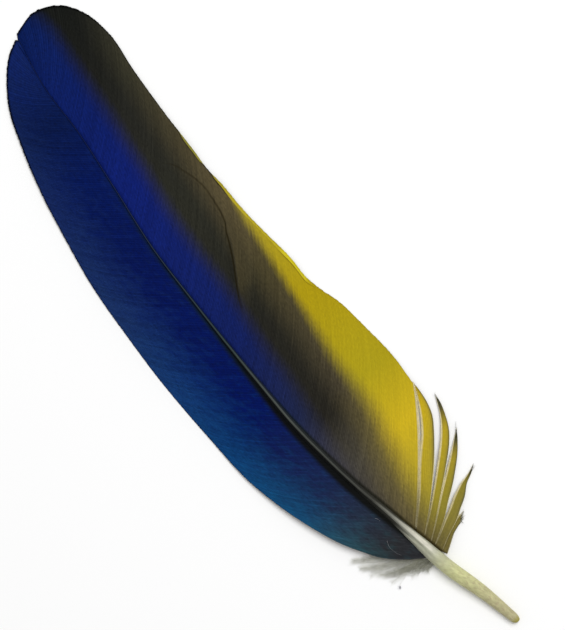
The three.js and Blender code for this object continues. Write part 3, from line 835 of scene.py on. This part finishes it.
# Both dark lines, by the curled edge and along the crease, are painted shade in near black
shade_marked = mix(tree, work_out(tree, "MAXIMUM", curl_shade, crease_shade), lit_edge, colour("#1c1602"))
# Loose barbs are dark at their points and along the lock's outer side
tipped = mix(tree, vertex(tree, "worn"), shade_marked, colour("#54533a"))
# Unhooked barbules stand up pale along both sides of a slit: their cream is partly painted light
# that shines through them and over the slit's shade
paled_and_lit = mix(tree, vertex(tree, "frayed"), tipped, colour("#f3e8bb"))
# Dark barb feet show beside the lower shaft, partly pigment and partly painted shade beside
# the raised shaft, within a distance of its middle that is a share of 3 mm
FEET_REACH = 3.0
feet_to = curve_at(tree, share, [
    (0.0, 0.9), (0.13, 0.88), (0.17, 0.78), (0.2, 0.66), (0.3, 0.52), (0.4, 0.4), (0.52, 0.0),
    (1.0, 0.0)], FEET_REACH)
feet_and_shade_by = spread(tree, work_out(tree, "SUBTRACT", feet_to, off), -0.35, 0.25)
feet_and_shade_part = ramp_at(tree, share, [
    (0.17, "#3a3218"), (0.23, "#2a291f"), (0.31, "#292928"), (0.38, "#18222a"), (0.5, "#13203c")])
barb_finish(tree, mix(tree, feet_and_shade_by, paled_and_lit, feet_and_shade_part), spread(tree, gilt, 0.0, 1.0, 1.0, 0.35))
add_piece("inner_vane", points, faces, values, pied, "vane")


# Loose locks
# At the foot of the inner vane the barbs have come unhooked and stand apart in five tapering
# locks. Each is a bunch of the same barbs that draws together into a hair-fine point.
LOCKS = {
    "lock_1": ([(1.6, 26.4), (4.2, 28.0), (6.6, 29.3), (9.1, 30.1), (10.9, 30.4)],
               [(0.9, 27.8), (5.4, 29.9), (9.1, 31.4), (10.9, 31.9), (12.6, 32.1)]),
    "lock_2": ([(0.9, 27.8), (4.8, 29.8), (9.7, 31.8), (12.1, 33.2), (15.2, 35.0), (18.2, 37.4),
                (20.7, 38.6), (22.5, 39.75)],
               [(0.1, 29.9), (3.0, 31.3), (7.8, 33.8), (10.9, 35.3), (13.3, 36.6), (17.0, 38.1),
                (19.8, 38.9), (22.5, 39.9)]),
    "lock_3": ([(0.1, 30.1), (3.0, 31.7), (7.8, 34.6), (10.9, 36.9), (14.6, 39.4), (17.6, 41.8),
                (21.0, 44.8), (23.7, 47.8), (25.5, 50.1)],
               [(-0.3, 31.0), (3.6, 33.85), (7.8, 37.05), (12.4, 40.45), (17.0, 43.7), (20.2, 46.1),
                (23.1, 48.5), (25.5, 50.3)]),
    "lock_4": ([(-0.4, 31.2), (3.7, 34.2), (6.6, 36.5), (10.9, 39.9), (15.2, 43.3), (18.2, 45.8),
                (21.3, 48.6), (23.8, 51.6), (25.6, 55.2), (26.7, 58.3), (27.2, 61.0)],
               [(-0.7, 33.2), (1.6, 35.0), (6.3, 38.5), (10.9, 42.2), (14.0, 44.8), (17.0, 47.4),
                (20.1, 50.3), (22.8, 53.3), (24.6, 55.9), (25.9, 58.5), (27.2, 61.2)]),
    "lock_5": ([(-0.7, 33.4), (1.6, 35.3), (4.2, 37.5), (7.8, 40.6), (10.9, 43.5), (14.6, 47.1),
                (18.2, 51.2), (20.7, 54.3), (22.7, 57.2), (23.9, 60.5), (24.5, 64.0), (24.75, 67.5)],
               [(-0.95, 36.2), (0.95, 38.05), (6.7, 43.75), (11.6, 49.2), (15.0, 52.6), (17.4, 54.95),
                (19.65, 57.9), (21.7, 61.1), (23.2, 64.1), (24.1, 66.2), (24.65, 67.6)])}
# How dark each lock's point is, where along the lock it begins, and how olive the lock is
LOCK_WEAR = {
    "lock_1": (0.3, 0.75, 0.1), "lock_2": (0.85, 0.75, 0.15), "lock_3": (1.0, 0.72, 0.1),
    "lock_4": (1.0, 0.72, 0.0), "lock_5": (0.05, 0.85, 0.0)}
# The hairs beyond a lock's point: where they end
LOCK_HAIRS = {
    "lock_1": [(12.6, 32.2), (11.9, 31.1), (11.2, 30.4), (10.2, 29.6)],
    "lock_2": [(23.0, 40.2), (22.9, 39.6)],
    "lock_3": [(26.6, 52.0), (25.9, 50.9)],
    "lock_4": [(27.3, 61.6)],
    "lock_5": []}
LOCK_COLUMNS = 44
LOCK_BARBS = 7
LOCK_CAMBER = 0.8
LOCK_CROWN = 0.1
POINT_WIDTH = 0.15
POINT_LENGTH = 2.5
HAIR_COUNT = 5
HAIR_POINTS = 6
HAIR_HALF_WIDTH = 0.03
lock_lift = along([(25, 0.15), (40, 0.15), (66, 0.45)])
rng = np.random.default_rng(37)
columns = np.linspace(0, 1, LOCK_COLUMNS)
for name, (lower, upper) in LOCKS.items():
    lower_side = curve_through(lower, LOCK_COLUMNS)
    upper_side = curve_through(upper, LOCK_COLUMNS)
    share_across = (np.arange(LOCK_BARBS + 1) / LOCK_BARBS)[:, None, None]
    routes = lower_side[None] * (1 - share_across) + upper_side[None] * share_across
    root_z = vane_root(routes[:, 0, 1], 1)[1]
    height = vane_height(routes, root_z, lock_lift, columns, LOCK_CAMBER)
    crown = np.sin(np.pi * share_across[..., 0]) * LOCK_CROWN * np.sin(np.pi * columns)[None]
    lines = np.concatenate([routes, (height + crown)[..., None]], axis=2)
    points, faces, values = barb_blades(lines[:-1], lines[1:], rng, POINT_WIDTH, POINT_LENGTH)
    outer_side = np.exp(-share_across[:-1, :, 0] / 0.2) * smooth_step(0.2, 0.6, columns)[None]
    darkness, begins, olive = LOCK_WEAR[name]
    point = olive + (darkness - olive) * smooth_step(begins, 0.95, columns)[None]
    values["worn"] = np.repeat(np.maximum(0.75 * outer_side, point).ravel(), len(SECTION))
    # The rim of the lock's upper side is painted pale, partly as light through its frayed barbules
    lit_pale_inner_side = np.zeros((LOCK_BARBS, LOCK_COLUMNS, len(SECTION)))
    lit_pale_inner_side[-1, :, 3:5] = (smooth_step(0.03, 0.3, columns) * smooth_step(0, 0.15, 1 - columns))[:, None]
    values["frayed"] = lit_pale_inner_side.ravel()
    upper_hairs = barbule_spines(
        lines[-1], -1, FRINGE_PITCH, [(0, 0.25), (0.2, 0.5), (0.6, 0.65), (0.75, 0.5), (0.9, 0.1)], rng)
    lower_hairs = barbule_spines(
        lines[0], 1, FRINGE_PITCH, [(0, 0.15), (0.2, 0.3), (0.45, 0.2), (0.6, 0.0), (1, 0.0)], rng)
    fringes = np.concatenate([upper_hairs, lower_hairs])
    blades = with_needles((points, faces, values), fringes, FRINGE_HALF_WIDTH, worn=0.0, rng=rng)
    for end in LOCK_HAIRS[name]:
        start = lines[LOCK_BARBS // 2, -6]
        tip = np.array([*end, start[2] + 0.1])
        out = np.linspace(0, 1, HAIR_POINTS)[:, None]
        swing = rng.normal(0, 0.14, (HAIR_COUNT, 1, 3)) * [1, 1, 0.3] * out
        hairs = start + (tip - start) * out + swing
        blades = with_needles(blades, hairs, HAIR_HALF_WIDTH, worn=1.0, rng=rng)
    add_piece(name, *blades, pied, "vane")


# Floor, light and camera
# The feather lies on a white table under a large soft light from the inner vane's side, and
# the camera looks straight down, turned so that the tip points to the upper left.
FLOOR_HALF = 2.0
floor_mesh = bpy.data.meshes.new("table_top")
floor_mesh.from_pydata(
    [(x * FLOOR_HALF, y * FLOOR_HALF, 0.0) for x, y in ((-1, -1), (1, -1), (1, 1), (-1, 1))],
    [], [(0, 1, 2, 3)])
table_top = bpy.data.objects.new("table_top", floor_mesh)
bpy.context.scene.collection.objects.link(table_top)
white = bpy.data.materials.new("table_paint_rolled_matt_white")
tree = new_tree(white)
surface = add(tree, "ShaderNodeBsdfPrincipled", {
    "Base Color": colour("#fbfbfa"), "Roughness": 0.9, "Specular IOR Level": 0.1})
add(tree, "ShaderNodeOutputMaterial", {"Surface": surface.outputs[0]})
floor_mesh.materials.append(white)

scene = bpy.context.scene
scene.view_settings.view_transform = "Standard"
world = bpy.data.worlds.new("studio")
scene.world = world
world.use_nodes = True
world.node_tree.nodes["Background"].inputs["Color"].default_value = colour("#fdfdff")
world.node_tree.nodes["Background"].inputs["Strength"].default_value = 0.5

key = bpy.data.lights.new("window_light", "AREA")
key.shape = "SQUARE"
key.size = 0.9
key.energy = 15.2
key_light = bpy.data.objects.new("window_light", key)
key_light.location = (0.62, 0.1, 1.36)
key_light.rotation_euler = key_light.location.to_track_quat("Z", "Y").to_euler()
scene.collection.objects.link(key_light)

# The picture is 565 by 630 pixels and shows 3.714 pixels to the millimetre at the vanes' height
CAMERA_HEIGHT = 0.903
SENSOR_HEIGHT = 24.0
VANE_HEIGHT = 0.003
VIEW_HEIGHT = 0.1696
VIEW_CENTRE = (9.66, 104.11)
VIEW_TURN = np.radians(-40.49)
camera_data = bpy.data.cameras.new("camera")
camera_data.sensor_fit = "VERTICAL"
camera_data.sensor_height = SENSOR_HEIGHT
camera_data.lens = SENSOR_HEIGHT * (CAMERA_HEIGHT - VANE_HEIGHT) / VIEW_HEIGHT
camera = bpy.data.objects.new("camera", camera_data)
centre = placed([[*VIEW_CENTRE, 0.0]])[0]
camera.location = (centre[0], centre[1], CAMERA_HEIGHT)
camera.rotation_euler = (0, 0, VIEW_TURN)
scene.collection.objects.link(camera)
scene.camera = camera
